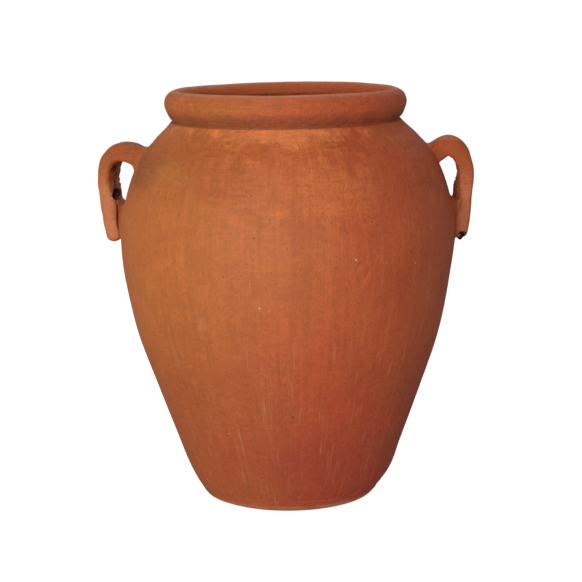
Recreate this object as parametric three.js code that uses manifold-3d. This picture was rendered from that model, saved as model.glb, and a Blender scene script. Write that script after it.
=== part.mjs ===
// A large terracotta amphora: a round jar with a rolled rim and two strap handles.
//
// The jar is built the way a potter builds one. A slab makes the base, three thrown rings make
// the wall, a collar makes the neck, and a fat coil rolled over the collar makes the rim. The two
// straps are pulled separately and luted on with soft clay at their top and bottom ends.
//
// Units are millimetres. The origin is the centre of the underside, +Z is up, and the handles
// stand to the left (-X) and the right (+X).

import * as THREE from 'three';
import { mergeVertices } from 'three/addons/utils/BufferGeometryUtils.js';
import Module from 'manifold-3d';

const wasm = await Module();
wasm.setup();

// Driving dimensions
const HEIGHT = 500;
const WALL = 14;
const GAP = 0.3;

// How finely the curves are cut into flats
const FACETS = 64;
const FOOT_STEPS = 4;
const LOWER_STEPS = 5;
const BELLY_STEPS = 6;
const SHOULDER_STEPS = 8;
const NECK_STEPS = 4;
const CROWN_STEPS = 15;
const JAR_STEPS = 30;
const STRAP_STEPS = 22;
const CORNER_STEPS = 3;
const WAD_ROUND_STEPS = 20;
const WAD_STEPS = 12;

// Heights where one piece of the wall ends and the next begins
const SLAB_TOP = 18;
const LOWER_JOIN = 165;
const BELLY_JOIN = 325;
const COLLAR_JOIN = 450;
const GROOVE_HEIGHT = 464;
const COLLAR_TOP = 486;

// Foot: the underside is flat out to FOOT_FLAT, then turns up in a soft quarter round
const FOOT_FLAT = 90;
const FOOT_EDGE = 109;
const FOOT_ROUND_HEIGHT = 12;

// Neck and rim
const NECK_BORE = 126;
const COLLAR_OUTER = 134;
const RIM_BORE = 123;

// Handles: a strap with rounded edges, seen as its width across and its thickness
const STRAP_WIDTH = 42;
const STRAP_THICKNESS = 19;
const STRAP_CORNER = 7;

// Soft clay at the straps' ends, as its half width across. The top wad lies against the shoulder,
// so it leans with the wall and has the same reach and rise on both sides
const TOP_WAD_ACROSS = 27;
const TOP_WAD_REACH = 8;
const TOP_WAD_RISE = 21;
const BOTTOM_WAD_ACROSS = 17;
const WALL_LEAN = THREE.MathUtils.degToRad(-38);

// The potter set the straps by eye, so they aren't quite opposite or at one height. A route is
// the middle of the strap as radius and height
const HANDLES = [
  {
    side: 'left',
    azimuth: THREE.MathUtils.degToRad(172),
    route: [[150, 404], [178, 419], [201, 426], [217, 417], [222.5, 395], [221, 368], [217, 336], [213.5, 316]],
    topWad: { radius: 174, height: 417 },
    bottomWad: { radius: 203, height: 345, reach: 9, rise: 27 },
  },
  {
    side: 'right',
    azimuth: THREE.MathUtils.degToRad(-2),
    route: [[150, 406], [176, 421], [196, 430], [210, 420], [216.5, 398], [214.5, 370], [211, 338], [208, 316]],
    topWad: { radius: 173, height: 420 },
    bottomWad: { radius: 200, height: 361, reach: 9, rise: 24 },
  },
];

// The outside of the wall as radius and height, from the top of the foot to the neck groove
const wallOutline = new THREE.SplineCurve([
  new THREE.Vector2(FOOT_EDGE, FOOT_ROUND_HEIGHT),
  new THREE.Vector2(132, 60),
  new THREE.Vector2(161.5, 140),
  new THREE.Vector2(187.5, 220),
  new THREE.Vector2(203, 316),
  new THREE.Vector2(196, 370),
  new THREE.Vector2(179.5, 415),
  new THREE.Vector2(159, 441),
  new THREE.Vector2(144, 456),
  new THREE.Vector2(138, GROOVE_HEIGHT),
]);

// The outline climbs all the way, so the place at a given height is found by halving
function wallRadius(height) {
  let low = 0;
  let high = 1;
  while (high - low > 1e-7) {
    const middle = (low + high) / 2;
    if (wallOutline.getPoint(middle).y < height) {
      low = middle;
    } else {
      high = middle;
    }
  }
  return wallOutline.getPoint(low).x;
}

// Points up the outside of the wall between two heights, moved outwards by offset
function wallPoints(bottom, top, steps, offset = 0) {
  const points = [];
  for (let i = 0; i <= steps; i += 1) {
    const height = THREE.MathUtils.lerp(bottom, top, i / steps);
    points.push(new THREE.Vector2(wallRadius(height) + offset, height));
  }
  return points;
}

// The foot's quarter round, from the flat underside up to the wall
function footPoints(offset = 0) {
  const round = new THREE.EllipseCurve(
    FOOT_FLAT, FOOT_ROUND_HEIGHT, FOOT_EDGE - FOOT_FLAT + offset, FOOT_ROUND_HEIGHT, -Math.PI / 2, 0);
  return round.getPoints(FOOT_STEPS);
}

// Turns an outline of (radius, height) points about the vertical axis
function turned(points) {
  const geometry = new THREE.LatheGeometry(points, FACETS);
  geometry.rotateX(Math.PI / 2);
  return geometry;
}

// A ring of wall: up the outside, across the top, down the inside and back
function wallRing(bottom, top, steps) {
  const outside = wallPoints(bottom, top, steps);
  const inside = wallPoints(bottom, top, steps, -WALL).reverse();
  return turned([...outside, ...inside, outside[0]]);
}

function baseSlab() {
  const outside = [...footPoints(), new THREE.Vector2(wallRadius(SLAB_TOP), SLAB_TOP)];
  return turned([new THREE.Vector2(0, 0), ...outside, new THREE.Vector2(0, SLAB_TOP)]);
}

// The collar narrows to the groove, then runs up inside the rim roll as a plain ring
function neckCollar() {
  const outside = wallPoints(COLLAR_JOIN, GROOVE_HEIGHT, NECK_STEPS);
  const inside = wallPoints(COLLAR_JOIN, GROOVE_HEIGHT, NECK_STEPS, -WALL)
    .filter((point) => point.x > NECK_BORE)
    .reverse();
  return turned([
    ...outside,
    new THREE.Vector2(COLLAR_OUTER, GROOVE_HEIGHT),
    new THREE.Vector2(COLLAR_OUTER, COLLAR_TOP),
    new THREE.Vector2(NECK_BORE, COLLAR_TOP),
    new THREE.Vector2(NECK_BORE, GROOVE_HEIGHT),
    ...inside,
    outside[0],
  ]);
}

// The roll hooks over the collar: a fat outer side, a round crown and a short inner lip
function rimRoll() {
  const crown = new THREE.SplineCurve([
    new THREE.Vector2(138, GROOVE_HEIGHT + GAP),
    new THREE.Vector2(142.4, 472),
    new THREE.Vector2(146, 484),
    new THREE.Vector2(142.5, 494.5),
    new THREE.Vector2(132, HEIGHT),
    new THREE.Vector2(124.5, 494.5),
    new THREE.Vector2(RIM_BORE, COLLAR_TOP + GAP),
  ]);
  const outside = crown.getPoints(CROWN_STEPS);
  return turned([
    ...outside,
    new THREE.Vector2(COLLAR_OUTER + GAP, COLLAR_TOP + GAP),
    new THREE.Vector2(COLLAR_OUTER + GAP, GROOVE_HEIGHT + GAP),
    outside[0],
  ]);
}

// Solids for cutting: a closed geometry in, a closed geometry out
function toSolid(geometry) {
  const bare = geometry.clone();
  bare.deleteAttribute('normal');
  bare.deleteAttribute('uv');
  const merged = mergeVertices(bare);
  const mesh = new wasm.Mesh({
    numProp: 3,
    vertProperties: new Float32Array(merged.attributes.position.array),
    triVerts: new Uint32Array(merged.index.array),
  });
  return new wasm.Manifold(mesh);
}

function toGeometry(solid) {
  const mesh = solid.getMesh();
  const geometry = new THREE.BufferGeometry();
  geometry.setAttribute('position', new THREE.BufferAttribute(mesh.vertProperties, 3));
  geometry.setIndex(new THREE.BufferAttribute(mesh.triVerts, 1));
  geometry.computeVertexNormals();
  return geometry;
}

// The whole jar below the groove as one plug, swollen by the gap: what the handles are cut with
function swollenJar() {
  const outside = [...footPoints(GAP), ...wallPoints(SLAB_TOP, GROOVE_HEIGHT, JAR_STEPS, GAP)];
  return toSolid(turned([
    new THREE.Vector2(0, 0),
    ...outside,
    new THREE.Vector2(0, GROOVE_HEIGHT),
  ]));
}

function roundedRectangle(width, height, corner) {
  const x = width / 2;
  const y = height / 2;
  const shape = new THREE.Shape();
  shape.moveTo(-x + corner, -y);
  shape.lineTo(x - corner, -y);
  shape.absarc(x - corner, -y + corner, corner, -Math.PI / 2, 0);
  shape.lineTo(x, y - corner);
  shape.absarc(x - corner, y - corner, corner, 0, Math.PI / 2);
  shape.lineTo(-x + corner, y);
  shape.absarc(-x + corner, y - corner, corner, Math.PI / 2, Math.PI);
  shape.lineTo(-x, -y + corner);
  shape.absarc(-x + corner, -y + corner, corner, Math.PI, 1.5 * Math.PI);
  return shape;
}

// The strap follows its route in an upright plane through the jar's axis
function strap(handle, swell = 0) {
  const points = handle.route.map(([radius, height]) => new THREE.Vector3(radius, 0, height));
  const section = roundedRectangle(STRAP_WIDTH + 2 * swell, STRAP_THICKNESS + 2 * swell, STRAP_CORNER);
  const geometry = new THREE.ExtrudeGeometry(section, {
    extrudePath: new THREE.CatmullRomCurve3(points),
    steps: STRAP_STEPS,
    curveSegments: CORNER_STEPS,
  });
  geometry.rotateZ(handle.azimuth);
  return toSolid(geometry);
}

// A wad of soft clay, pressed into the corner between the strap and the wall
function wad(handle, { radius, height, reach, across, rise, lean = 0 }) {
  const geometry = new THREE.SphereGeometry(1, WAD_ROUND_STEPS, WAD_STEPS);
  geometry.scale(reach, across, rise);
  geometry.rotateY(lean);
  geometry.translate(radius, 0, height);
  geometry.rotateZ(handle.azimuth);
  return toSolid(geometry);
}

const amphora = new THREE.Group();
amphora.name = 'amphora';

function addPiece(name, geometry, color) {
  const clay = new THREE.MeshStandardMaterial({ color, roughness: 0.9, metalness: 0 });
  clay.name = `${name}_clay`;
  const mesh = new THREE.Mesh(geometry, clay);
  mesh.name = name;
  amphora.add(mesh);
}

addPiece('base_slab', baseSlab(), '#93492b');
addPiece('lower_wall', wallRing(SLAB_TOP, LOWER_JOIN, LOWER_STEPS), '#a55531');
addPiece('belly_wall', wallRing(LOWER_JOIN, BELLY_JOIN, BELLY_STEPS), '#b76339');
addPiece('shoulder_wall', wallRing(BELLY_JOIN, COLLAR_JOIN, SHOULDER_STEPS), '#b96338');
addPiece('neck_collar', neckCollar(), '#8e4627');
addPiece('rim_roll', rimRoll(), '#ae6038');

const jar = swollenJar();
for (const handle of HANDLES) {
  const clearance = strap(handle, GAP).add(jar);
  const topWad = wad(handle, {
    ...handle.topWad,
    reach: TOP_WAD_REACH,
    across: TOP_WAD_ACROSS,
    rise: TOP_WAD_RISE,
    lean: WALL_LEAN,
  });
  const bottomWad = wad(handle, { ...handle.bottomWad, across: BOTTOM_WAD_ACROSS });
  addPiece(`${handle.side}_handle`, toGeometry(strap(handle).subtract(jar)), '#b4613a');
  addPiece(`${handle.side}_top_luting`, toGeometry(topWad.subtract(clearance)), '#a9592f');
  addPiece(`${handle.side}_bottom_luting`, toGeometry(bottomWad.subtract(clearance)), '#8a4a30');
}

export default amphora;
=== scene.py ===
"""A large terracotta amphora: the hand-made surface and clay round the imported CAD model.

All lengths are metres. The jar's skin is one grid of rows and columns, wrapped from the middle of
the underside, up the outside, over the rim and down the inside. Each piece of the wall takes its
own rows of that grid, so neighbours meet exactly and the joins stay smooth. The straps, and the
clay that joins them to the wall, are distance fields turned into meshes.
"""

import itertools
import math
from types import SimpleNamespace

import bpy
import numpy as np
from mathutils import Matrix, Vector


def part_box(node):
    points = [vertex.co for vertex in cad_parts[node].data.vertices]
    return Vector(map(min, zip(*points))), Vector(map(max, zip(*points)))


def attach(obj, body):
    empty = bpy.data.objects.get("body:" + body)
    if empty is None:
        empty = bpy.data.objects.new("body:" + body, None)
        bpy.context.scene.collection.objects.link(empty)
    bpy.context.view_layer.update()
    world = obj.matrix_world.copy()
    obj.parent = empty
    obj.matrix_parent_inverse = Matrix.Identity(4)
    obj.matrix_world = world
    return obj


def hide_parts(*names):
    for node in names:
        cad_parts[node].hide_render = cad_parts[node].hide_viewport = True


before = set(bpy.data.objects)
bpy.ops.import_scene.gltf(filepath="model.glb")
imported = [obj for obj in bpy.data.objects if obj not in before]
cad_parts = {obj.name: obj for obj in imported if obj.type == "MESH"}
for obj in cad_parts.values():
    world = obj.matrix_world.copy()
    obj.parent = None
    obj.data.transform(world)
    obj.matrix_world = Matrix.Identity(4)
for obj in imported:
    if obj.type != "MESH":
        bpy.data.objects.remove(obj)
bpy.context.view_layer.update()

MM = 0.001

# Heights of the joins, from the CAD pieces
SLAB_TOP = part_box("base_slab")[1].z
LOWER_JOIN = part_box("lower_wall")[1].z
BELLY_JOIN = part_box("belly_wall")[1].z
COLLAR_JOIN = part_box("shoulder_wall")[1].z
COLLAR_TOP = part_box("neck_collar")[1].z
GROOVE = 464 * MM

# The same outline as the CAD wall, as (radius, height)
FOOT_FLAT = 90 * MM
FOOT_EDGE = 109 * MM
FOOT_ROUND_HEIGHT = 12 * MM
WALL_OUTLINE = np.array([
    (109, 12), (132, 60), (161.5, 140), (187.5, 220), (203, 316),
    (196, 370), (179.5, 415), (159, 441), (144, 456), (138, 464),
]) * MM
ROLL_OUTLINE = np.array([
    (138, 464), (142.4, 472), (146, 484), (142.5, 494.5), (132, 500), (124.5, 494.5), (123, 486),
]) * MM
WALL = 14 * MM
NECK_BORE = 126 * MM
FLOOR_ROUND = 16 * MM
FLOOR_ROUND_HEIGHT = 24 * MM
CURVE_STEPS = 40
LINE_POINTS = 200

# The grid of the skin: columns round the jar, and the spacing of its rows
COLUMNS = 704
FINE = 1.6 * MM
COARSE = 6 * MM
ROLL_FADE_ROWS = 8
FLAT_FLOOR_ROWS = 12
TURNED_IN_ROWS = 14

FRONT = math.radians(-90)
NEAR_RIGHT = math.radians(-8)
NEAR_LEFT = math.radians(-172)

STAGE_RADIUS = 15
FLOOR_GAP = 0.3 * MM


# ---------------------------------------------------------------- curves and random fields

def catmull_rom(points, steps):
    """A smooth curve through the points, with the given steps between each two."""
    padded = np.vstack([2 * points[0] - points[1], points, 2 * points[-1] - points[-2]])
    t = np.linspace(0, 1, steps, endpoint=False)[:, None]
    spans = []
    for a, b, c, d in zip(padded, padded[1:], padded[2:], padded[3:]):
        bend = 2 * a - 5 * b + 4 * c - d
        twist = 3 * (b - c) + d - a
        spans.append(b + 0.5 * t * (c - a + t * (bend + t * twist)))
    return np.vstack([*spans, points[-1:]])


def resample(line, spacing):
    """The same line with evenly spaced points, its two ends kept."""
    steps = np.linalg.norm(np.diff(line, axis=0), axis=1)
    along = np.concatenate([[0], np.cumsum(steps)])
    even = np.linspace(0, along[-1], max(2, round(along[-1] / spacing) + 1))
    return np.column_stack([np.interp(even, along, axis) for axis in line.T])


def ease(t):
    """0 below 0, 1 above 1, and smooth between."""
    t = np.clip(t, 0, 1)
    return t * t * (3 - 2 * t)


def between(value, low, high, soft):
    """1 inside a range and 0 outside it, with soft ends."""
    return ease((value - low) / soft + 0.5) * ease((high - value) / soft + 0.5)


def bell(value, centre, width):
    """1 at the centre, falling smoothly to nearly 0 at twice the width away."""
    return np.exp(-((value - centre) / width) ** 2)


def field(u, v, around, cell, seed):
    """Smooth random values from -1 to 1. u is an angle, and v a length with the given cell size."""
    longest = 1.4
    rows = int(longest / cell) + 3
    lattice = np.random.default_rng(seed).uniform(-1, 1, (rows, around))
    across = (u / (2 * np.pi) * around) % around
    along = v / cell + 1
    i = np.floor(across).astype(int) % around
    j = np.floor(along).astype(int) % (rows - 1)
    s = ease(across - np.floor(across))
    t = ease(along - np.floor(along))
    low = lattice[j, i] * (1 - s) + lattice[j, (i + 1) % around] * s
    high = lattice[j + 1, i] * (1 - s) + lattice[j + 1, (i + 1) % around] * s
    return low * (1 - t) + high * t


def layered(u, v, layers):
    """Random fields added up. Each layer is its strength, cells round the jar, cell size and seed."""
    return sum(strength * field(u, v, around, cell, seed) for strength, around, cell, seed in layers)


def angle_from(angle, centre):
    """The signed difference of two angles, from -pi to pi."""
    return (angle - centre + np.pi) % (2 * np.pi) - np.pi


# ---------------------------------------------------------------- the jar's outline

wall_curve = catmull_rom(WALL_OUTLINE, CURVE_STEPS)


def wall_radius(height):
    return np.interp(height, wall_curve[:, 1], wall_curve[:, 0])


def outside_line(bottom, top):
    heights = np.linspace(bottom, top, LINE_POINTS)
    return np.column_stack([wall_radius(heights), heights])


def inside_line(top, bottom):
    """Down the inside of the wall, turning softly into the bottom at its lowest part."""
    heights = np.linspace(top, bottom, LINE_POINTS)
    radii = np.maximum(wall_radius(heights) - WALL, NECK_BORE * (heights > COLLAR_JOIN))
    turn = ease(1 - (heights - SLAB_TOP) / FLOOR_ROUND_HEIGHT) ** 2
    return np.column_stack([radii - FLOOR_ROUND * turn, heights])


def foot_line():
    """From the middle of the underside, out along the flat and round the foot to the slab's top."""
    turn = np.linspace(-np.pi / 2, 0, 30)
    round_edge = np.column_stack([
        FOOT_FLAT + (FOOT_EDGE - FOOT_FLAT) * np.cos(turn),
        FOOT_ROUND_HEIGHT * (1 + np.sin(turn)),
    ])
    above = outside_line(FOOT_ROUND_HEIGHT, SLAB_TOP)[1:]
    return np.vstack([(COARSE / 2, 0), round_edge, above])


def floor_line():
    edge = inside_line(LOWER_JOIN, SLAB_TOP)[-1, 0]
    return np.array([(edge, SLAB_TOP), (COARSE / 2, SLAB_TOP)])


def skin_sections():
    """The skin's outline in order, as (piece, line, spacing)."""
    return [
        ("base_slab", foot_line(), FINE),
        ("lower_wall", outside_line(SLAB_TOP, LOWER_JOIN), FINE),
        ("belly_wall", outside_line(LOWER_JOIN, BELLY_JOIN), FINE),
        ("shoulder_wall", outside_line(BELLY_JOIN, COLLAR_JOIN), FINE),
        ("neck_collar", outside_line(COLLAR_JOIN, GROOVE), FINE / 2),
        ("rim_roll", catmull_rom(ROLL_OUTLINE, CURVE_STEPS), FINE / 2),
        ("neck_collar", inside_line(COLLAR_TOP, COLLAR_JOIN), COARSE / 2),
        ("shoulder_wall", inside_line(COLLAR_JOIN, BELLY_JOIN), COARSE),
        ("belly_wall", inside_line(BELLY_JOIN, LOWER_JOIN), COARSE),
        ("lower_wall", inside_line(LOWER_JOIN, SLAB_TOP), COARSE),
        ("base_slab", floor_line(), COARSE),
    ]


# ---------------------------------------------------------------- the hand-made surface

# Layers of the relief, as layered() takes them. Their strengths are in millimetres, except in
# GROOVE_DEPTH and RIDGE_STRENGTH, which are added to factors
WOBBLE = [(0.8, 3, 0.16, 1), (0.3, 9, 0.07, 2)]
LUMPS = [(0.14, 40, 0.03, 3), (0.06, 110, 0.012, 4)]
THROWN = [(0.05, 9, 0.0045, 5), (0.02, 17, 0.0026, 6)]
BRUSHED_UPRIGHT = [(0.06, 170, 0.07, 7), (0.03, 330, 0.04, 8)]
FOOT_BANDS = [(0.45, 5, 0.0042, 9)]
GROOVE_DEPTH = [(0.4, 14, 0.1, 10)]
ROLL_SQUEEZE = [(0.7, 7, 0.05, 11), (0.35, 22, 0.02, 12)]
ROLL_LINES = [(0.09, 5, 0.003, 13), (0.05, 60, 0.004, 14)]
INSIDE_UNEVEN = [(0.5, 12, 0.03, 15)]
RIDGE_STRENGTH = [(0.3, 6, 0.08, 16)]


def outside_relief(angle, height):
    """How far the outside stands proud of its outline: wobble, thrown lines, brushing and dents."""
    high = ease((height - 0.33) / 0.12)
    foot = between(height, 0.002, 0.026, 0.006)
    surface = layered(angle, height, LUMPS)
    surface = surface + layered(angle, height, THROWN) * (0.25 + high)
    surface = surface + layered(angle, height, BRUSHED_UPRIGHT) * (1 - 0.75 * high)
    surface = surface + layered(angle, height, FOOT_BANDS) * foot
    proud = MM * (layered(angle, height, WOBBLE) + surface) + slumps(angle, height) + pock(angle, height)
    return proud * ease(height / (5 * MM))


def slumps(angle, height):
    """The jar isn't quite round: it leans out on the right of the shoulder and low on both sides."""
    to_right = np.maximum(np.cos(angle), 0)
    to_left = np.maximum(-np.cos(angle), 0)
    right = 2.4 * bell(angle_from(angle, NEAR_RIGHT), 0, 0.55) * between(height, 0.31, 0.462, 0.09)
    left = 1.3 * bell(angle_from(angle, NEAR_LEFT), 0, 0.5) * between(height, 0.004, 0.30, 0.05)
    left_foot = 2.6 * to_left * bell(height, 0.028, 0.032)
    right_foot = 2.4 * to_right * bell(height, 0.037, 0.020)
    tuck = (2.0 + 1.2 * np.cos(angle)) * bell(height, 0.007, 0.011)
    below_groove = ease((GROOVE + 4 * MM - height) / (16 * MM))
    return MM * (right + left + left_foot + right_foot - tuck) * below_groove


def pock(angle, height):
    """A shallow ring where a grain of lime burst under the surface."""
    ring_radius = 7 * MM
    stretch = 1.45
    across = angle_from(angle, math.radians(-65.5)) * 195 * MM
    reach = np.hypot(across, (height - 305 * MM) / stretch)
    ring = bell(reach, ring_radius, 1.7 * MM)
    crumb = bell(reach, 0, 1.8 * MM)
    return MM * (crumb - ring)


def groove_relief(angle, height):
    """The line cut under the roll, and the sliver of clay smeared down from it near the front."""
    cut = bell(height, GROOVE, 1.2 * MM) * (0.9 + layered(angle, height, GROOVE_DEPTH))
    turn = angle_from(angle, FRONT)
    sliver_height = GROOVE - 7.5 * MM + 6 * MM * ease((turn + 0.02) / 0.36)
    sliver = bell(height, sliver_height, 1.1 * MM) * between(turn, 0.03, 0.34, 0.06)
    return MM * (0.9 * sliver - 1.6 * cut)


def roll_relief(angle, along):
    """The roll was squeezed between finger and thumb as it turned, so it is never quite even."""
    return MM * (layered(angle, along, ROLL_SQUEEZE) + layered(angle, along, ROLL_LINES))


def inside_relief(angle, height):
    """Finger ridges climb the inside in a long spiral."""
    pitch = 17 * MM
    spiral = 0.6 * np.sin(2 * np.pi * height / pitch + angle)
    strength = 0.7 + layered(angle, height, RIDGE_STRENGTH)
    return MM * (spiral * strength + layered(angle, height, INSIDE_UNEVEN))


def joined_outline():
    """The outline as rows of (radius, height), and for each section its piece and span of rows."""
    lines = []
    spans = []
    start = 0
    for piece, line, spacing in skin_sections():
        rows = resample(line, spacing)
        if lines:
            rows = rows[1:]
        lines.append(rows)
        spans.append((piece, max(start - 1, 0), start + len(rows)))
        start += len(rows)
    return np.vstack(lines), spans


def skin_relief(outline, roll_low, roll_high, angle):
    """How far each point of the grid stands proud of the outline."""
    height = outline[:, 1:2]
    row = np.arange(len(outline))[:, None]
    along = np.concatenate([[0], np.cumsum(np.linalg.norm(np.diff(outline, axis=0), axis=1))])
    crest = (roll_low + roll_high) / 2
    roll = between(row, roll_low + 4, roll_high - 3, ROLL_FADE_ROWS)
    outside = (row < crest) * (1 - roll)
    inside = (row > crest) * (1 - roll)
    flat = (height < 0.1 * MM) | (row > len(outline) - FLAT_FLOOR_ROWS)
    hand_made = outside_relief(angle, height)
    relief = outside * (hand_made + groove_relief(angle, height))
    relief = relief + roll * (hand_made + roll_relief(angle, along[:, None]))
    relief = relief + inside * inside_relief(angle, height)
    return relief * (1 - flat)


def skin():
    """The grid of points and normals, the spans of its pieces, and how far each row is turned in."""
    outline, spans = joined_outline()
    roll_low, roll_high = next((low, high) for piece, low, high in spans if piece == "rim_roll")
    slope = np.gradient(outline, axis=0)
    normal = np.column_stack([slope[:, 1], -slope[:, 0]])
    normal /= np.linalg.norm(normal, axis=1)[:, None]

    angle = np.linspace(-np.pi, np.pi, COLUMNS, endpoint=False)[None, :]
    relief = skin_relief(outline, roll_low, roll_high, angle)
    radius = outline[:, :1] + normal[:, :1] * relief
    level = outline[:, 1:2] + normal[:, 1:2] * relief
    points = np.stack([radius * np.cos(angle), radius * np.sin(angle), level], axis=-1)

    up = np.gradient(points, axis=0)
    around = np.roll(points, -1, axis=1) - np.roll(points, 1, axis=1)
    normals = np.cross(around, up)
    normals /= np.linalg.norm(normals, axis=2)[..., None]
    past_crest = np.arange(len(outline)) - (roll_low + roll_high) / 2
    turned_in = ease(past_crest / TURNED_IN_ROWS - 0.5)
    return SimpleNamespace(points=points, normals=normals, spans=spans, turned_in=turned_in)


# ---------------------------------------------------------------- meshes

def add_piece(name, points, faces, replaces, material):
    """A new piece that stands for one CAD node and rides with the jar."""
    sizes = np.array([len(face) for face in faces])
    starts = np.concatenate([[0], np.cumsum(sizes)[:-1]])
    mesh = bpy.data.meshes.new(name)
    mesh.vertices.add(len(points))
    mesh.vertices.foreach_set("co", np.asarray(points, np.float32).ravel())
    mesh.loops.add(int(sizes.sum()))
    mesh.loops.foreach_set("vertex_index", np.concatenate(faces).astype(np.int32))
    mesh.polygons.add(len(faces))
    mesh.polygons.foreach_set("loop_start", starts.astype(np.int32))
    mesh.update(calc_edges=True)
    mesh.validate()
    mesh.shade_smooth()
    mesh.materials.append(material)
    piece = bpy.data.objects.new(name, mesh)
    bpy.context.scene.collection.objects.link(piece)
    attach(piece, "root")
    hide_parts(replaces)
    return piece


def mark(piece, name, values):
    """A number on every point of a piece, for its material."""
    attribute = piece.data.attributes.new(name, "FLOAT", "POINT")
    attribute.data.foreach_set("value", values.astype(np.float32))


def grid_faces(rows, columns, closed):
    """Quads between neighbouring rows of a grid whose columns wrap round."""
    ring = np.arange(columns)
    after = np.roll(ring, -1)
    quads = []
    for row in range(rows if closed else rows - 1):
        low = row * columns
        high = (row + 1) % rows * columns
        quads.append(np.column_stack([low + ring, low + after, high + after, high + ring]))
    return np.vstack(quads)


def flat_normals(vertices, quads):
    """The normal of each quad, once for each of its corners."""
    corners = vertices[quads]
    normals = np.cross(corners[:, 1] - corners[:, 0], corners[:, 2] - corners[:, 0])
    normals /= np.linalg.norm(normals, axis=1)[:, None] + 1e-12
    return np.repeat(normals, 4, axis=0)


def wall_piece(name, material, grid):
    """One ring of the wall: its rows of the skin, joined by hidden faces inside the clay."""
    spans = [np.arange(low, high) for piece, low, high in grid.spans if piece == name]
    rows = np.concatenate(spans)
    open_ended = rows[0] == 0
    quads = grid_faces(len(rows), COLUMNS, not open_ended)
    faces = list(quads)
    if open_ended:
        faces.append(np.arange(COLUMNS)[::-1])
        faces.append((len(rows) - 1) * COLUMNS + np.arange(COLUMNS))
    vertices = grid.points[rows].reshape(-1, 3)
    piece = add_piece(name + "_clay", vertices, faces, name, material)
    mark(piece, "inside", np.repeat(grid.turned_in[rows], COLUMNS))

    # The skin's own normals keep the joins smooth, except on the hidden faces between two spans
    loop_normals = grid.normals[rows].reshape(-1, 3)[np.concatenate(faces)]
    step = np.diff(np.append(rows, rows[0]))
    for low in np.flatnonzero(step != 1):
        hidden = quads[low * COLUMNS:(low + 1) * COLUMNS]
        if len(hidden):
            first = low * COLUMNS * 4
            loop_normals[first:first + COLUMNS * 4] = flat_normals(vertices, hidden)
    piece.data.normals_split_custom_set(loop_normals.tolist())


# ---------------------------------------------------------------- soft clay as distance fields

# The handles are worked out in their own coordinates: radius from the jar's axis, distance across
# (positive towards the front of the jar) and height. A distance is negative inside the clay.
CELL = 0.7 * MM


def soft_max(a, b, blend):
    """The larger distance, with the corner between the two shapes rounded over."""
    close = np.maximum(blend - np.abs(a - b), 0) / blend
    return np.maximum(a, b) + close * close * blend / 4


def soft_min(a, b, blend):
    """The smaller distance, with a fillet where the two shapes meet."""
    return -soft_max(-a, -b, blend)


def noise(points, size, seed):
    """Smooth random values from -1 to 1, changing over about the given size on each axis."""
    side = 48
    lattice = np.random.default_rng(seed).uniform(-1, 1, (side, side, side))
    scaled = points / np.asarray(size) + 10 * side
    base = np.floor(scaled).astype(int)
    part = ease(scaled - base)
    total = np.zeros(points.shape[:-1])
    for corner in itertools.product((0, 1), repeat=3):
        weight = np.prod(np.where(corner, part, 1 - part), axis=-1)
        total += weight * lattice[tuple(np.moveaxis((base + corner) % side, -1, 0))]
    return total


def surface_of(distance, origin, cell):
    """Points and quads of the surface where a grid of distances crosses zero, closed at its border."""
    distance = np.pad(distance, 1, constant_values=cell)
    cells = np.array(distance.shape) - 1
    size = int(cells.prod())
    sums = np.zeros((3, size))
    counts = np.zeros(size)
    quads = []
    unit = np.eye(3, dtype=int)
    for axis in range(3):
        along, left, right = unit[axis], unit[(axis + 1) % 3], unit[(axis + 2) % 3]
        low = distance[tuple(slice(0, n - step) for n, step in zip(distance.shape, along))]
        high = distance[tuple(slice(step, n) for n, step in zip(distance.shape, along))]
        edges = np.argwhere((low < 0) != (high < 0))
        a = low[tuple(edges.T)]
        b = high[tuple(edges.T)]
        crossing = edges + along * (a / (a - b))[:, None]
        ring = (edges - left - right, edges - right, edges, edges - left)
        around = np.stack([np.ravel_multi_index(tuple(corner.T), cells) for corner in ring], axis=1)
        for corner in around.T:
            counts += np.bincount(corner, minlength=size)
            for k in range(3):
                sums[k] += np.bincount(corner, crossing[:, k], minlength=size)
        quads.append(np.where((a < 0)[:, None], around, around[:, ::-1]))
    used = np.flatnonzero(counts)
    number = np.zeros(size, int)
    number[used] = np.arange(len(used))
    points = origin + cell * ((sums[:, used] / counts[used]).T - 1)
    return points, number[np.vstack(quads)]


# ---------------------------------------------------------------- the straps and their luting clay

STRAP_WIDTH = 42 * MM
STRAP_LENGTH = 178 * MM
OUTER_ROUND = 11 * MM
INNER_ROUND = 5 * MM
END_ROUND = 8 * MM

# Two corners of the grid round a handle, and how far the strap goes into the wall
GRID_LOW = np.array([160, -32, 305]) * MM
GRID_HIGH = np.array([240, 32, 446]) * MM
BURIED = 6 * MM

# Away from its fillets the luting stays this far under the clay it covers
HIDDEN = 0.2 * MM

# The top fillet stays within reach of the root, as (radius, height), and above its lowest height
TOP_ROOT = (178 * MM, 416 * MM)
TOP_REACH = 46 * MM
TOP_LOWEST = 388 * MM

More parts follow.
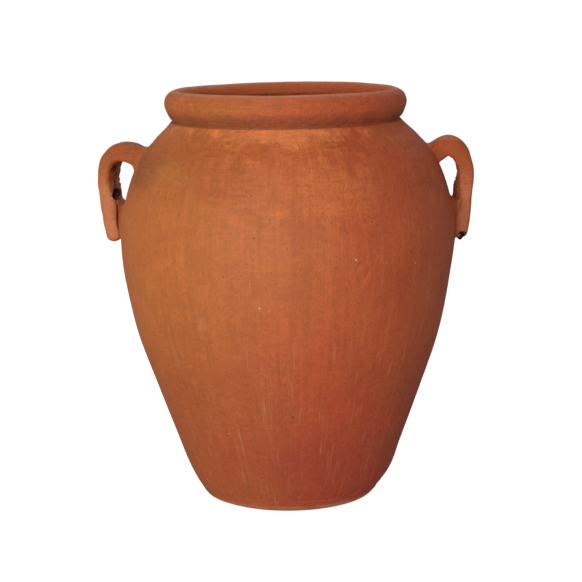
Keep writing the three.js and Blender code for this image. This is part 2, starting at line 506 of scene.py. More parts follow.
# Each strap follows the same route as its CAD solid, as (radius, height) in millimetres. Along its
# share of the route, inner is how far the inner face lies from the route, tilt how much nearer it
# is at the front, and outer the same for the outer face. Torn hollows, the shaded hollow, where the
# shade deep inside is painted dark, crumbs, the tongue and the crack are lumps: a centre of
# (radius, across, height), and half sizes.
STRAPS = {
    "left": {
        "azimuth": 172,
        "front": 1,
        "route": [
            (150, 404), (178, 419), (201, 426), (217, 417),
            (222.5, 395), (221, 368), (217, 336), (213.5, 315),
        ],
        "inner": [(0.2, 14), (0.35, 12.5), (0.46, 9), (0.56, 7.6), (0.7, 10.5), (0.88, 9.5), (1, 6.5)],
        "tilt": [(0.3, 0), (0.5, 0.17), (0.62, 0.17), (0.72, 0.08), (1, 0.02)],
        "outer": [(0.2, 10), (0.9, 9.5), (1, 8)],
        "end_slant": 0.03,
        "torn": [
            ((214, -2, 404), (6, 14, 5)),
            ((204, 3, 408), (5, 12, 3)),
            ((211, -2, 388), (4, 12, 14)),
        ],
        "sooty": ((212, 1, 369), (10, 16, 9)),
        "crumbs": [],
        "fillet": 9,
        "wad": {"bottom": 319, "top": 362, "width": 37, "fillet": 6},
        "tongue": ((207, 2, 352), (4, 17, 12)),
        "crack": ((207.5, 19, 346), (1.3, 7, 17)),
        "seed": 31,
    },
    "right": {
        "azimuth": -2,
        "front": -1,
        "route": [
            (150, 406), (176, 421), (196, 430), (210, 420),
            (216.5, 398), (214.5, 370), (211, 338), (208, 316),
        ],
        "inner": [(0.2, 13), (0.35, 11.5), (0.45, 10), (0.55, 10), (0.68, 8.5), (0.88, 9), (1, 8)],
        "tilt": [(0.4, 0), (0.55, 0.03), (0.66, 0.13), (0.8, 0.05), (1, 0)],
        "outer": [(0.2, 10.5), (0.9, 9.5), (1, 9)],
        "end_slant": 0.10,
        "torn": [
            ((205, 1, 389), (5.2, 20, 13)),
            ((208, -2, 313), (5, 14, 10)),
        ],
        "sooty": ((211, 15, 316), (6.5, 14, 10)),
        "crumbs": [((209, 9, 319), (3.5, 6, 4))],
        "fillet": 5,
        "wad": {"bottom": 320, "top": 364, "width": 39, "fillet": 6},
        "tongue": ((206.5, 1, 368), (5, 18.5, 18)),
        "crack": ((207, 20, 374), (1.3, 6, 10)),
        "seed": 61,
    },
}


def route_place(strap, radius, height):
    """How far along the route, as a share, and how far outside it each point lies."""
    step = 0.5 * MM
    line = resample(catmull_rom(np.array(strap["route"]) * MM, CURVE_STEPS), step)
    tangent = np.gradient(line, axis=0)
    tangent /= np.linalg.norm(tangent, axis=1)[:, None]
    places = np.stack(np.broadcast_arrays(radius[:, 0], height[:, 0]), axis=-1)
    offset = places[:, :, None, :] - line
    nearest = np.argmin((offset ** 2).sum(axis=3), axis=2)
    chosen = np.take_along_axis(offset, nearest[:, :, None, None], axis=2)[:, :, 0]
    forward = tangent[nearest]
    along = nearest * step + (chosen * forward).sum(axis=2)
    outside = chosen[..., 1] * forward[..., 0] - chosen[..., 0] * forward[..., 1]
    return (along / ((len(line) - 1) * step))[:, None], outside[:, None]


def wall_distance(strap, radius, across, height):
    """Distance from the outside of the jar, with its relief."""
    proud = np.hypot(radius, across) - wall_radius(height)
    near = np.abs(proud) < 12 * MM
    turn = np.broadcast_to(np.arctan2(across * strap["front"], radius), near.shape)[near]
    level = np.broadcast_to(height, near.shape)[near]
    proud[near] -= outside_relief(math.radians(strap["azimuth"]) + turn, level)
    slope = np.gradient(wall_curve[:, 0], wall_curve[:, 1])
    return proud / np.sqrt(1 + np.interp(height, wall_curve[:, 1], slope) ** 2)


def lump_distance(axes, lump):
    """Distance, near enough, from an ellipsoid given as its centre and half sizes."""
    centre, size = lump
    parts = [(axis - middle * MM) / (half * MM) for axis, middle, half in zip(axes, centre, size)]
    return (np.sqrt(sum(part ** 2 for part in parts)) - 1) * min(size) * MM


def band_distance(strap, axes, share, outside):
    """Distance from the bent band: flat inner face, rounded outer one, and a slanted lower end."""
    across = axes[1]
    inner = np.interp(share, *np.transpose(strap["inner"])) * MM
    tilt = np.interp(share, *np.transpose(strap["tilt"]))
    outer = np.interp(share, *np.transpose(strap["outer"])) * MM
    faces = soft_max(outside - outer, np.abs(across) - STRAP_WIDTH / 2, OUTER_ROUND)
    band = soft_max(faces, -outside - inner + tilt * across, INNER_ROUND)
    end = (share - 1) * STRAP_LENGTH + strap["end_slant"] * across
    return soft_max(band, end, END_ROUND)


def strap_relief(at, seed):
    """How rough the strap is, in metres: pulled along its length, and torn on its inner side."""
    along, outside = at[:, 0], at[:, 2]
    torn_side = ease((-outside - 2 * MM) / (4 * MM)) * between(along, 68 * MM, 130 * MM, 16 * MM)
    relief = 0.9 * noise(at, 22 * MM, seed) + 0.45 * noise(at, 9 * MM, seed + 1)
    relief += 0.35 * noise(at, (55 * MM, 4.5 * MM, 4.5 * MM), seed + 2)
    relief += torn_side * (0.6 * noise(at, 4 * MM, seed + 3) + 0.35 * noise(at, 2 * MM, seed + 4))
    return MM * relief


def handle_axes():
    """The three axes of the grid round a handle: radius, across and height."""
    shape = np.ceil((GRID_HIGH - GRID_LOW) / CELL).astype(int)
    steps = np.ogrid[tuple(slice(0, n) for n in shape)]
    return [low + CELL * step for low, step in zip(GRID_LOW, steps)]


def handle_fields(strap):
    """Distances on the grid round one handle: from its strap, the wall, its hollows and the deep hollow
    whose shade is painted.
    """
    radius, across, height = axes = handle_axes()
    share, outside = route_place(strap, radius, height)
    strap_clay = band_distance(strap, axes, share, outside)
    wall_clay = wall_distance(strap, radius, across, height)
    soot = lump_distance(axes, strap["sooty"])
    hollow = soot
    for lump in strap["torn"]:
        hollow = np.minimum(hollow, lump_distance(axes, lump))

    seed = strap["seed"]
    place = np.stack(np.broadcast_arrays(share * STRAP_LENGTH, across, outside), axis=-1)
    near = (np.abs(strap_clay) < 6 * MM) | (np.abs(hollow) < 3 * MM)
    at = place[near]
    strap_clay[near] -= strap_relief(at, seed)
    hollow[near] += MM * (1.6 * noise(at, 6 * MM, seed + 5) + 0.8 * noise(at, 2.6 * MM, seed + 6))
    strap_clay = soft_max(strap_clay, -hollow, 1.5 * MM)
    for lump in strap["crumbs"]:
        crumb = lump_distance(axes, lump)
        near = np.abs(crumb) < 5 * MM
        crumb[near] += 1.2 * MM * noise(place[near], 3 * MM, seed + 7)
        strap_clay = soft_min(strap_clay, crumb, 1.5 * MM)
    return SimpleNamespace(
        axes=axes, outside=outside, strap=strap_clay, wall=wall_clay,
        both=np.minimum(strap_clay, wall_clay), hollow=hollow, soot=soot)


def fillet_distance(strap, clay_at):
    """The clay smeared round the top root of the strap, where it meets the wall."""
    radius, across, height = clay_at.axes
    fillet = soft_min(clay_at.strap, clay_at.wall, strap["fillet"] * MM) + HIDDEN
    root = np.sqrt((radius - TOP_ROOT[0]) ** 2 + across ** 2 + (height - TOP_ROOT[1]) ** 2)
    fillet = np.maximum(fillet, root - TOP_REACH)
    return np.maximum(fillet, np.maximum(-clay_at.both - 2 * MM, TOP_LOWEST - height))


def wad_distance(strap, clay_at):
    """The clay pressed between the lower strap and the wall, with a tongue smeared up the strap."""
    radius, across, height = clay_at.axes
    wad = strap["wad"]
    tongue = lump_distance(clay_at.axes, strap["tongue"])
    walls = soft_max(-clay_at.wall - 3 * MM, clay_at.outside + 3 * MM, 3 * MM)
    sides = soft_max(walls, np.abs(across) - wad["width"] / 2 * MM, 8 * MM)
    ends = soft_max(height - wad["top"] * MM, wad["bottom"] * MM - height, 4 * MM)
    return soft_min(soft_max(sides, ends, 6 * MM), tongue, 5 * MM)


def smeared_wad_distance(strap, clay_at, wad):
    """The wad with its fillets on to the strap and the wall, and the crack down its front edge."""
    blend = strap["wad"]["fillet"] * MM
    smeared = soft_min(wad, clay_at.both, blend) + HIDDEN
    smeared = np.maximum(np.maximum(smeared, wad - blend), -clay_at.both - 2.5 * MM)
    return np.maximum(smeared, -lump_distance(clay_at.axes, strap["crack"]))


def placed(strap, points):
    """Handle coordinates to points in the frame."""
    a = math.radians(strap["azimuth"])
    radius, across, height = points.T
    side = across * strap["front"]
    x = radius * math.cos(a) - side * math.sin(a)
    y = radius * math.sin(a) + side * math.cos(a)
    return np.column_stack([x, y, height])


def add_clay(name, node, material, strap, distance, marks):
    """A piece of clay from its distances, marked with an attribute near each shape in marks."""
    reach = 1.5 * MM
    points, faces = surface_of(distance, GRID_LOW, CELL)
    if strap["front"] < 0:
        faces = faces[:, ::-1]
    piece = add_piece(name, placed(strap, points), faces, node, material)
    place = np.rint((points - GRID_LOW) / CELL).astype(int)
    place = np.clip(place, 0, np.array(distance.shape) - 1)
    for label, away in marks.items():
        mark(piece, label, ease((reach - away[tuple(place.T)]) / reach))


def add_handle(side, strap_material, luting_material):
    """One strap, the fillet round its top root, and the wad behind its lower end."""
    strap = STRAPS[side]
    clay_at = handle_fields(strap)
    buried = np.maximum(clay_at.strap, -clay_at.wall - BURIED)
    marks = {"raw": clay_at.hollow, "soot": clay_at.soot}
    add_clay(side + "_strap", side + "_handle", strap_material, strap, buried, marks)

    fillet = fillet_distance(strap, clay_at)
    # Painted shade goes along the crease down the middle of the fillet
    marks = {"crease_shade": np.abs(clay_at.strap - clay_at.wall), "on_wall": clay_at.wall / 4}
    add_clay(side + "_top_fillet", side + "_top_luting", luting_material,
             strap, fillet, marks)

    wad = wad_distance(strap, clay_at)
    smeared = smeared_wad_distance(strap, clay_at, wad)
    marks = {
        "crease_shade": np.abs(clay_at.strap - wad),
        "on_wall": clay_at.wall / 4,
        # Where the wad is thickest, away from both strap and wall, it gets browner clay and painted
        # shade
        "smeared": (5 * MM - clay_at.both) / 4,
    }
    add_clay(side + "_bottom_wad", side + "_bottom_luting", luting_material,
             strap, smeared, marks)


# ---------------------------------------------------------------- colours

# Fired clay from ochre to brick red. The brick red side is the right, turned away from the key light, so
# its redder, darker tone is partly painted shade
JAR_TONES = ((0.515, 0.150, 0.030), (0.530, 0.134, 0.034), (0.535, 0.099, 0.028))
STRAP_TONES = ((0.600, 0.215, 0.072), (0.610, 0.185, 0.066), (0.650, 0.160, 0.062))
# Painted shade: darker and redder low on the jar
LOW_PAINTED_SHADE = (0.82, 0.63, 0.77)
# Painted shade: darker and browner on the shoulder and the roll, which face up
TOP_PAINTED_SHADE = (0.92, 0.82, 0.72)
ARCH_TINT = (0.70, 0.50, 0.20)
# Browner clay and painted shade in the middle of the wad, between the strap and the wall
WAD_PAINTED_SHADE = (0.52, 0.36, 0.22)
BRUSHED = (0.62, 0.23, 0.10)
LIME = (0.70, 0.54, 0.38)
DIRT = (0.090, 0.030, 0.016)
SMOKE = (0.30, 0.105, 0.045)
SHADE = (0.170, 0.040, 0.020)
INSIDE = (0.620, 0.135, 0.036)
TORN = (0.500, 0.190, 0.112)
# Painted shade, near black, in the deepest hollows of the straps
HOLLOW_SHADE_COLOUR = (0.012, 0.006, 0.004)

# Patches on the jar, most left by the fire and the soil and some of painted light and shade: the way
# each one faces in degrees, its height, its half width in degrees, its half height, its colour and how
# strong it is
MARKS_AND_PAINTED_LIGHT = [
    (-88, 405 * MM, 36, 55 * MM, (0.66, 0.185, 0.048), 0.55),
    # Painted light: a paler band just under the groove that lifts the shade the roll casts there
    (-98, 457 * MM, 56, 12 * MM, (0.76, 0.230, 0.066), 0.85),
    (-100, 330 * MM, 30, 80 * MM, (0.58, 0.165, 0.045), 0.35),
    (-136, 408 * MM, 19, 20 * MM, (0.52, 0.190, 0.040), 0.50),
    (-163, 412 * MM, 22, 26 * MM, (0.29, 0.083, 0.020), 0.62),
    (-118, 400 * MM, 22, 26 * MM, (0.40, 0.096, 0.026), 0.45),
    (172, 300 * MM, 18, 150 * MM, (0.56, 0.225, 0.052), 0.45),
    # Partly redder clay and partly painted shade, on the right, away from the key light
    (-32, 335 * MM, 34, 110 * MM, (0.40, 0.068, 0.019), 0.55),
    # Painted shade, darker low on the front of the jar
    (-86, 60 * MM, 36, 50 * MM, (0.43, 0.078, 0.030), 0.45),
    (70, 250 * MM, 40, 110 * MM, (0.58, 0.190, 0.060), 0.50),
    (115, 390 * MM, 26, 40 * MM, (0.36, 0.120, 0.050), 0.45),
]


# ---------------------------------------------------------------- shader nodes

def new_node(tree, kind, inputs, **settings):
    """A node with its settings and its inputs, each a plain value or another node's output."""
    made = tree.nodes.new(kind)
    for name, value in settings.items():
        setattr(made, name, value)
    for socket, value in inputs.items():
        if isinstance(value, bpy.types.NodeSocket):
            tree.links.new(value, made.inputs[socket])
        else:
            made.inputs[socket].default_value = value
    return made


def calculate(tree, operation, first, second=0.0):
    return new_node(tree, "ShaderNodeMath", {0: first, 1: second}, operation=operation).outputs[0]


def vector_math(tree, operation, inputs, output=0):
    return new_node(tree, "ShaderNodeVectorMath", inputs, operation=operation).outputs[output]


def product(tree, *factors):
    total = factors[0]
    for factor in factors[1:]:
        total = calculate(tree, "MULTIPLY", total, factor)
    return total


def spread(tree, value, low, high, start=0.0, end=1.0):
    """A value between low and high turned smoothly into one between start and end."""
    inputs = {"Value": value, "From Min": low, "From Max": high, "To Min": start, "To Max": end}
    return new_node(tree, "ShaderNodeMapRange", inputs, interpolation_type="SMOOTHSTEP").outputs[0]


def mixed(tree, amount, under, over, blend="MIX"):
    """Two colours mixed by an amount."""
    inputs = {"Factor": amount, 6: under, 7: over}
    return new_node(tree, "ShaderNodeMix", inputs, data_type="RGBA", blend_type=blend).outputs[2]


def tinted(tree, amount, color, tint):
    """A colour multiplied by a tint, by an amount."""
    return mixed(tree, amount, color, mixed(tree, 1.0, color, paint(tint), "MULTIPLY"))


def paint(color):
    return (*color, 1)


def marked(tree, name):
    """The number that mark() put on the piece, or 0 on a piece without it."""
    return new_node(tree, "ShaderNodeAttribute", {}, attribute_name=name).outputs["Fac"]


def cloud(tree, vector, scale, detail=2.0, roughness=0.5):
    inputs = {"Vector": vector, "Scale": scale, "Detail": detail, "Roughness": roughness}
    return new_node(tree, "ShaderNodeTexNoise", inputs).outputs[0]


def stretched(tree, vector, x, y, z):
    return vector_math(tree, "MULTIPLY", {0: vector, 1: (x, y, z)})


def spots(tree, vector, scale, radius, share, ragged):
    """Scattered spots: cells of the given scale, of which only a share has a spot."""
    wavy = vector_math(tree, "ADD", {0: vector, 1: ragged})
    cells = new_node(tree, "ShaderNodeTexVoronoi", {"Vector": wavy, "Scale": scale})
    chosen = new_node(tree, "ShaderNodeSeparateColor", {0: cells.outputs["Color"]})
    inside = spread(tree, cells.outputs["Distance"], radius * scale, radius * scale * 0.45)
    size = spread(tree, chosen.outputs[1], 0.0, 1.0, 0.35, 1.0)
    has_spot = calculate(tree, "LESS_THAN", chosen.outputs[0], share)
    return product(tree, inside, has_spot, size)


# ---------------------------------------------------------------- the clay's materials

def places(tree):
    """Where a point is on the jar, and random clouds and streaks of several sizes there."""
    place = new_node(tree, "ShaderNodeTexCoord", {}).outputs["Object"]
    height = new_node(tree, "ShaderNodeSeparateXYZ", {0: place}).outputs[2]
    level = stretched(tree, place, 1, 1, 0)
    outward = vector_math(tree, "NORMALIZE", {0: level})
    facing = new_node(tree, "ShaderNodeSeparateXYZ", {0: outward})
    round_jar = new_node(tree, "ShaderNodeCombineXYZ", {
        0: facing.outputs[0],
        1: facing.outputs[1],
        2: height,
    }).outputs[0]
    jitter = new_node(tree, "ShaderNodeTexNoise", {"Vector": place, "Scale": 300.0, "Detail": 2.0})
    patches = cloud(tree, place, 30.0, 5.0, 0.6)
    level_worked = calculate(
        tree, "MAXIMUM", spread(tree, height, 0.30, 0.43), spread(tree, height, 0.034, 0.016))
    return SimpleNamespace(
        place=place,
        height=height,
        radius=vector_math(tree, "LENGTH", {0: level}, "Value"),
        outward=outward,
        side=facing.outputs[0],
        ragged=vector_math(tree, "SCALE", {0: jitter.outputs["Color"], "Scale": 0.0016}),
        clouds=cloud(tree, place, 8.5, 4.0, 0.55),
        patches=patches,
        mottle=cloud(tree, place, 120.0, 4.0, 0.6),
        grain=cloud(tree, place, 430.0, 4.0, 0.7),
        crumbs=cloud(tree, place, 330.0, 4.0, 0.7),
        smoky=cloud(tree, stretched(tree, place, 1, 1, 3.2), 13.0, 3.0, 0.55),
        brush=cloud(tree, stretched(tree, round_jar, 24, 24, 13), 1.0, 3.0, 0.6),
        fine_brush=cloud(tree, stretched(tree, round_jar, 80, 80, 22), 1.0, 3.0, 0.65),
        wiped=cloud(tree, stretched(tree, round_jar, 34, 34, 5), 1.0, 4.0, 0.62),
        thrown=cloud(tree, stretched(tree, round_jar, 5, 5, 260), 1.0, 4.0, 0.6),
        scratched=product(tree, level_worked, spread(tree, patches, 0.38, 0.60)),
    )


def tone_with_side_shade(tree, at, handle):
    """Near 0 on the ochre left and near 1 on the brick red right; the redder, darker right is partly
    painted shade.
    """
    start, end = (0.3, 0.8) if handle else (0.0, 1.0)
    side = spread(tree, at.side, -0.95, 0.62, start, end)
    return calculate(tree, "ADD", side, spread(tree, at.clouds, 0.25, 0.75, -0.30, 0.30))


def fired(tree, tone, tones):
    """The colour of the clay from its ochre tone through its middle one to its brick red one."""
    warm = mixed(tree, spread(tree, tone, -0.1, 0.55), paint(tones[0]), paint(tones[1]))
    return mixed(tree, spread(tree, tone, 0.4, 1.1), warm, paint(tones[2]))


def high_amount(tree, at):
    """The upper part of the jar, with an uneven lower edge."""
    uneven = spread(tree, at.patches, 0.2, 0.8, -0.01, 0.01)
    return spread(tree, calculate(tree, "ADD", at.height, uneven), 0.37, 0.42)


def low_shade_amount(tree, at):
    """The lower part of the jar, where shade is painted, fading in over a broad, uneven edge."""
    uneven = spread(tree, at.clouds, 0.2, 0.8, -0.05, 0.05)
    return spread(tree, calculate(tree, "ADD", at.height, uneven), 0.30, 0.06)


def jar_colour(tree, at):
    """Fired clay on the wall and the rim: ochre to brick red, with its patches, some of them painted
    light and shade, and painted shade on the shoulder, the roll and low down.
    """
    color = fired(tree, tone_with_side_shade(tree, at, False), JAR_TONES)
    # Painted shade, darker and browner, on the shoulder and the roll, which face up and get less of the
    # low key light
    shoulder = spread(tree, at.height, 0.452, 0.436)
    roll = spread(tree, at.height, 0.462, 0.470, 0.0, 0.5)
    top_shade = product(tree, high_amount(tree, at), calculate(tree, "MAXIMUM", shoulder, roll))
    color = tinted(tree, top_shade, color, TOP_PAINTED_SHADE)
    for mark_place in MARKS_AND_PAINTED_LIGHT:
        color = mixed(tree, mark_amount(tree, at, mark_place), color, paint(mark_place[4]))
    # Painted shade, darker and redder low on the jar
    return tinted(tree, low_shade_amount(tree, at), color, LOW_PAINTED_SHADE)


def handle_colour(tree, at):
    """Paler fired clay on the straps, browner on their arches, and like the wall where they meet it."""
    tone = tone_with_side_shade(tree, at, True)
    color = tinted(tree, high_amount(tree, at), fired(tree, tone, STRAP_TONES), ARCH_TINT)
    color = mixed(tree, marked(tree, "on_wall"), color, fired(tree, tone, JAR_TONES))
    # Painted shade, darker and redder low down
    return tinted(tree, low_shade_amount(tree, at), color, LOW_PAINTED_SHADE)


def mark_amount(tree, at, mark_place):
    """How strongly a patch shows: a soft patch with an edge broken by the clouds."""
    direction, level, half_width, half_height, _, strength = mark_place
    a = math.radians(direction)
    way = (math.cos(a), math.sin(a), 0)
    toward = vector_math(tree, "DOT_PRODUCT", {0: at.outward, 1: way}, "Value")
    turned = calculate(
        tree, "DIVIDE", calculate(tree, "ARCCOSINE", toward), math.radians(half_width))
    raised = calculate(
        tree, "DIVIDE", calculate(tree, "SUBTRACT", at.height, level), half_height)
    reach = calculate(tree, "ADD", product(tree, turned, turned), product(tree, raised, raised))
    reach = calculate(tree, "SQRT", reach)
    reach = calculate(tree, "ADD", reach, spread(tree, at.clouds, 0.25, 0.75, 0.45, -0.45))
    reach = calculate(tree, "ADD", reach, spread(tree, at.patches, 0.3, 0.7, 0.42, -0.42))
    return product(tree, spread(tree, reach, 1.2, 0.2), strength)


def uneven_shade(tree, at):
    """A factor near 1 for the colour: patches, mottling, grain, wiped streaks and thrown lines."""
    lines = product(tree, calculate(tree, "SUBTRACT", at.thrown, 0.5), at.scratched, 0.85)
    return product(
        tree,
        spread(tree, at.patches, 0.2, 0.8, 0.94, 1.06),
        spread(tree, at.mottle, 0.2, 0.8, 0.92, 1.07),
        spread(tree, at.grain, 0.22, 0.78, 0.87, 1.12),
        spread(tree, at.wiped, 0.25, 0.75, 0.93, 1.06),
        calculate(tree, "ADD", lines, 1.0),
    )


def stroke_amount(tree, at):
    """Pale upright brush strokes, strongest low on the jar."""
    return product(
        tree,
        spread(tree, at.brush, 0.54, 0.70),
        spread(tree, at.fine_brush, 0.40, 0.66),
        spread(tree, at.height, 0.42, 0.16, 0.16, 0.62),
        spread(tree, at.height, 0.004, 0.020),
    )


def smoke_amount(tree, at):
    """Faint smoky clouds, longer round the jar than up it."""
    return product(
        tree, spread(tree, at.smoky, 0.60, 0.78), spread(tree, at.mottle, 0.3, 0.6, 0.4, 1.0), 0.22)


def specks(tree, at):
    """The dark pits and the pale specks of lime, with fewer of the small ones low on the jar."""
    common = product(
        tree,
        spread(tree, at.height, 0.10, 0.34, 0.35, 1.0),
        spread(tree, at.patches, 0.40, 0.60, 0.25, 1.0),
    )
    small_pits = product(tree, spots(tree, at.place, 150.0, 0.0013, 0.42, at.ragged), common)
    large_pits = spots(tree, at.place, 52.0, 0.0015, 0.24, at.ragged)
    small_lime = product(tree, spots(tree, at.place, 90.0, 0.0010, 0.22, at.ragged), common)
    large_lime = spots(tree, at.place, 27.0, 0.0017, 0.26, at.ragged)
    pits = calculate(tree, "MAXIMUM", large_pits, small_pits)
    lime = calculate(tree, "MAXIMUM", large_lime, small_lime)
    return pits, lime


def groove_shade(tree, at):
    """Painted shade in the cut under the rim, and a fainter painted shade along the lower part of the
    roll above it.
    """
    outside = spread(tree, at.radius, 0.1335, 0.1365)
    cut = product(
        tree, spread(tree, at.height, 0.4605, 0.4636), spread(tree, at.height, 0.4680, 0.4646), 0.85)
    above = product(
        tree, spread(tree, at.height, 0.4640, 0.4680), spread(tree, at.height, 0.4830, 0.4690), 0.70)
    shade = calculate(tree, "MAXIMUM", cut, above)
    return product(tree, outside, shade, spread(tree, at.patches, 0.3, 0.6, 0.55, 1.0))


def wear_amount(tree, at):
    """Pale rubbed clay on the crest of the rim and round the edge of the foot."""
    crest = spread(tree, at.height, 0.4968, 0.4998)
    foot = product(
        tree, spread(tree, at.height, 0.0005, 0.003), spread(tree, at.height, 0.011, 0.005))
    worn = calculate(tree, "MAXIMUM", crest, foot)
    return product(tree, worn, spread(tree, at.patches, 0.35, 0.62, 0.25, 0.75))


def finish_jar(tree, at, color, relief, strokes):
    """The redder inside, painted shade in the groove and the rubbed edges, with thrown lines in the
    relief.
    """
    inside = product(tree, marked(tree, "inside"), spread(tree, at.patches, 0.3, 0.7, 0.55, 0.85))
    color = mixed(tree, inside, color, paint(INSIDE))
    color = mixed(tree, groove_shade(tree, at), color, paint(SHADE))
    color = mixed(tree, wear_amount(tree, at), color, paint(BRUSHED))
    lines = product(tree, at.thrown, spread(tree, at.height, 0.25, 0.44, 0.3, 1.0), at.scratched, 0.0016)
    relief = calculate(tree, "ADD", relief, lines)
    relief = calculate(tree, "ADD", relief, product(tree, strokes, 0.0006))
    return color, relief


def finish_handle(tree, at, color, relief):
    """Painted shade along the creases and in the deepest hollow, browner clay with painted shade in the
    middle of the wad, and torn clay in the hollows.
    """
    torn = marked(tree, "raw")
    # Browner clay and painted shade in the middle of the wad, between the strap and the wall
    color = tinted(tree, marked(tree, "smeared"), color, WAD_PAINTED_SHADE)
    # Painted shade along the crease where the luting meets the strap and the wall
    crease_shade = product(tree, marked(tree, "crease_shade"), spread(tree, at.mottle, 0.3, 0.6, 0.2, 0.5))
    color = mixed(tree, crease_shade, color, paint(SHADE))
    rough = mixed(tree, spread(tree, at.crumbs, 0.30, 0.52), paint(DIRT), paint(TORN))
    color = mixed(tree, torn, color, rough)
    # Painted shade, near black, in the deepest hollow of each strap
    soot = product(tree, marked(tree, "soot"), spread(tree, at.crumbs, 0.3, 0.55, 1.0, 0.95))
    color = mixed(tree, soot, color, paint(HOLLOW_SHADE_COLOUR))
    return color, calculate(tree, "ADD", relief, product(tree, at.crumbs, torn, 0.002))


def clay(name, handle):
    """Fired terracotta: clouds of ochre and brick, brush streaks, thrown lines, lime, pits and dirt."""
    material = bpy.data.materials.new(name)
    material.use_nodes = True
    tree = material.node_tree
    shader = tree.nodes["Principled BSDF"]
    at = places(tree)
    strokes = stroke_amount(tree, at)
    pits, lime = specks(tree, at)

    color = handle_colour(tree, at) if handle else jar_colour(tree, at)
    color = vector_math(tree, "SCALE", {0: color, "Scale": uneven_shade(tree, at)})
    color = mixed(tree, strokes, color, paint(BRUSHED))
    color = mixed(tree, smoke_amount(tree, at), color, paint(SMOKE))
    color = mixed(tree, product(tree, pits, 0.55), color, paint(DIRT))
    color = mixed(tree, product(tree, lime, 0.85), color, paint(LIME))

    relief = calculate(
        tree, "ADD", product(tree, at.grain, 0.00085), product(tree, at.mottle, 0.0013))
    relief = calculate(tree, "SUBTRACT", relief, product(tree, pits, 0.0009))
    relief = calculate(tree, "ADD", relief, product(tree, lime, 0.0003))
    if handle:
        color, relief = finish_handle(tree, at, color, relief)
    else:
        color, relief = finish_jar(tree, at, color, relief, strokes)
    tree.links.new(color, shader.inputs["Base Color"])

    rough = calculate(
        tree, "ADD", spread(tree, at.mottle, 0.25, 0.75, 0.52, 0.72), product(tree, strokes, 0.25))
    rough = calculate(tree, "ADD", rough, product(tree, lime, 0.15))
    tree.links.new(rough, shader.inputs["Roughness"])
    shader.inputs["Diffuse Roughness"].default_value = 0.35
    shader.inputs["Specular IOR Level"].default_value = 0.36
    bump = new_node(tree, "ShaderNodeBump", {"Height": relief, "Distance": 1.0, "Strength": 1.0})
    tree.links.new(bump.outputs[0], shader.inputs["Normal"])
    return material


# ---------------------------------------------------------------- stage, lights and camera

def paper(name, glow):
    """White studio paper, lit a little from behind so that shadows on it stay soft."""
    material = bpy.data.materials.new(name)
    material.use_nodes = True
    shader = material.node_tree.nodes["Principled BSDF"]
    shader.inputs["Base Color"].default_value = (0.5, 0.5, 0.5, 1)
    shader.inputs["Roughness"].default_value = 1
    shader.inputs["Emission Color"].default_value = (1, 1, 1, 1)
    shader.inputs["Emission Strength"].default_value = glow
    return material


def add_stage():
    """A pale floor and a pale backdrop far behind it, neither of which lights the jar."""
    bpy.ops.mesh.primitive_circle_add(
        vertices=96, radius=STAGE_RADIUS, fill_type="NGON", location=(0, 0, -FLOOR_GAP))
    floor = bpy.context.object
    floor.name = "floor"
    floor.data.materials.append(paper("floor_paper", 0.88))
    bpy.ops.mesh.primitive_cylinder_add(
        vertices=96, radius=STAGE_RADIUS, depth=STAGE_RADIUS, end_fill_type="NOTHING",
        location=(0, 0, STAGE_RADIUS / 2))
    backdrop = bpy.context.object
    backdrop.name = "backdrop"
    backdrop.data.materials.append(paper("backdrop_paper", 1.0))
    for stage in (floor, backdrop):
        stage.visible_diffuse = False
        stage.visible_glossy = False


def add_area_light(name, azimuth, elevation, distance, size, power):
    """A soft box that looks at the middle of the jar. Azimuth 0 is in front, and 90 is to the right."""
    a = math.radians(azimuth)
    e = math.radians(elevation)
    aim = Vector((0, 0, 0.27))
    back = Vector((math.sin(a) * math.cos(e), -math.cos(a) * math.cos(e), math.sin(e)))
    data = bpy.data.lights.new(name, "AREA")
    data.shape = "DISK"
    data.size = size
    data.energy = power
    light = bpy.data.objects.new(name, data)
    light.location = aim + back * distance
    light.rotation_mode = "QUATERNION"
    light.rotation_quaternion = back.to_track_quat("Z", "Y")
    bpy.context.scene.collection.objects.link(light)


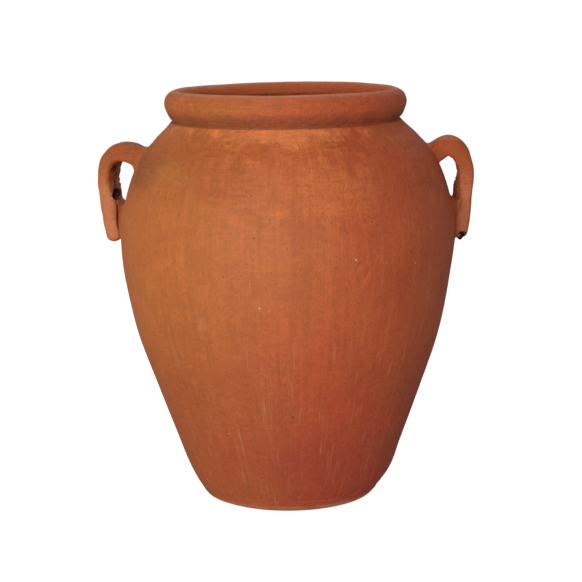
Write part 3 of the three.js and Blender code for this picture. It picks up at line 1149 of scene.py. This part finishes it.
def add_lights():
    """A key light from the front left, a weaker one from high behind, and a pale room all round."""
    world = bpy.data.worlds.new("studio")
    bpy.context.scene.world = world
    world.use_nodes = True
    tree = world.node_tree
    direction = new_node(tree, "ShaderNodeTexCoord", {}).outputs["Generated"]
    way = new_node(tree, "ShaderNodeSeparateXYZ", {0: direction})
    front_to_back = spread(tree, way.outputs[1], -1.0, 1.0, 0.54, 0.30)
    below = spread(tree, way.outputs[2], -0.75, 0.20, 0.45, 1.0)
    above = spread(tree, way.outputs[2], 0.10, 0.90, 1.0, 0.55)
    background = tree.nodes["Background"]
    background.inputs["Color"].default_value = (1, 1, 1, 1)
    tree.links.new(product(tree, front_to_back, below, above), background.inputs["Strength"])
    add_area_light("key_softbox", -20, 7, 2.5, 1.5, 42)
    add_area_light("back_softbox", 172, 58, 2.6, 1.8, 20)


def add_camera():
    """Seen from in front and above, a little tilted to the side, through a long lens."""
    data = bpy.data.cameras.new("camera")
    data.sensor_width = 36
    data.lens = 109.8
    camera = bpy.data.objects.new("camera", data)
    camera.location = (0, -2.15, 0.633)
    aim = Vector((0.0028, 0, 0.2517))
    look = (aim - camera.location).to_track_quat("-Z", "Y")
    roll = Matrix.Rotation(math.radians(-0.945), 4, "Z").to_quaternion()
    camera.rotation_mode = "QUATERNION"
    camera.rotation_quaternion = look @ roll
    bpy.context.scene.collection.objects.link(camera)
    bpy.context.scene.camera = camera
    bpy.context.scene.view_settings.view_transform = "Standard"


# ---------------------------------------------------------------- the object

WALL_SLOTS = {
    "base_slab": "base_clay",
    "lower_wall": "lower_wall_clay",
    "belly_wall": "belly_clay",
    "shoulder_wall": "shoulder_clay",
    "neck_collar": "neck_clay",
    "rim_roll": "rim_clay",
}

jar_clay = clay("jar_clay", False)
jar_skin = skin()
for node, slot in WALL_SLOTS.items():
    wall_piece(node, jar_clay, jar_skin)

handle_clay = clay("handle_clay", True)
luting_clay = clay("luting_clay", True)
for side in STRAPS:
    add_handle(side, handle_clay, luting_clay)

add_stage()
add_lights()
add_camera()
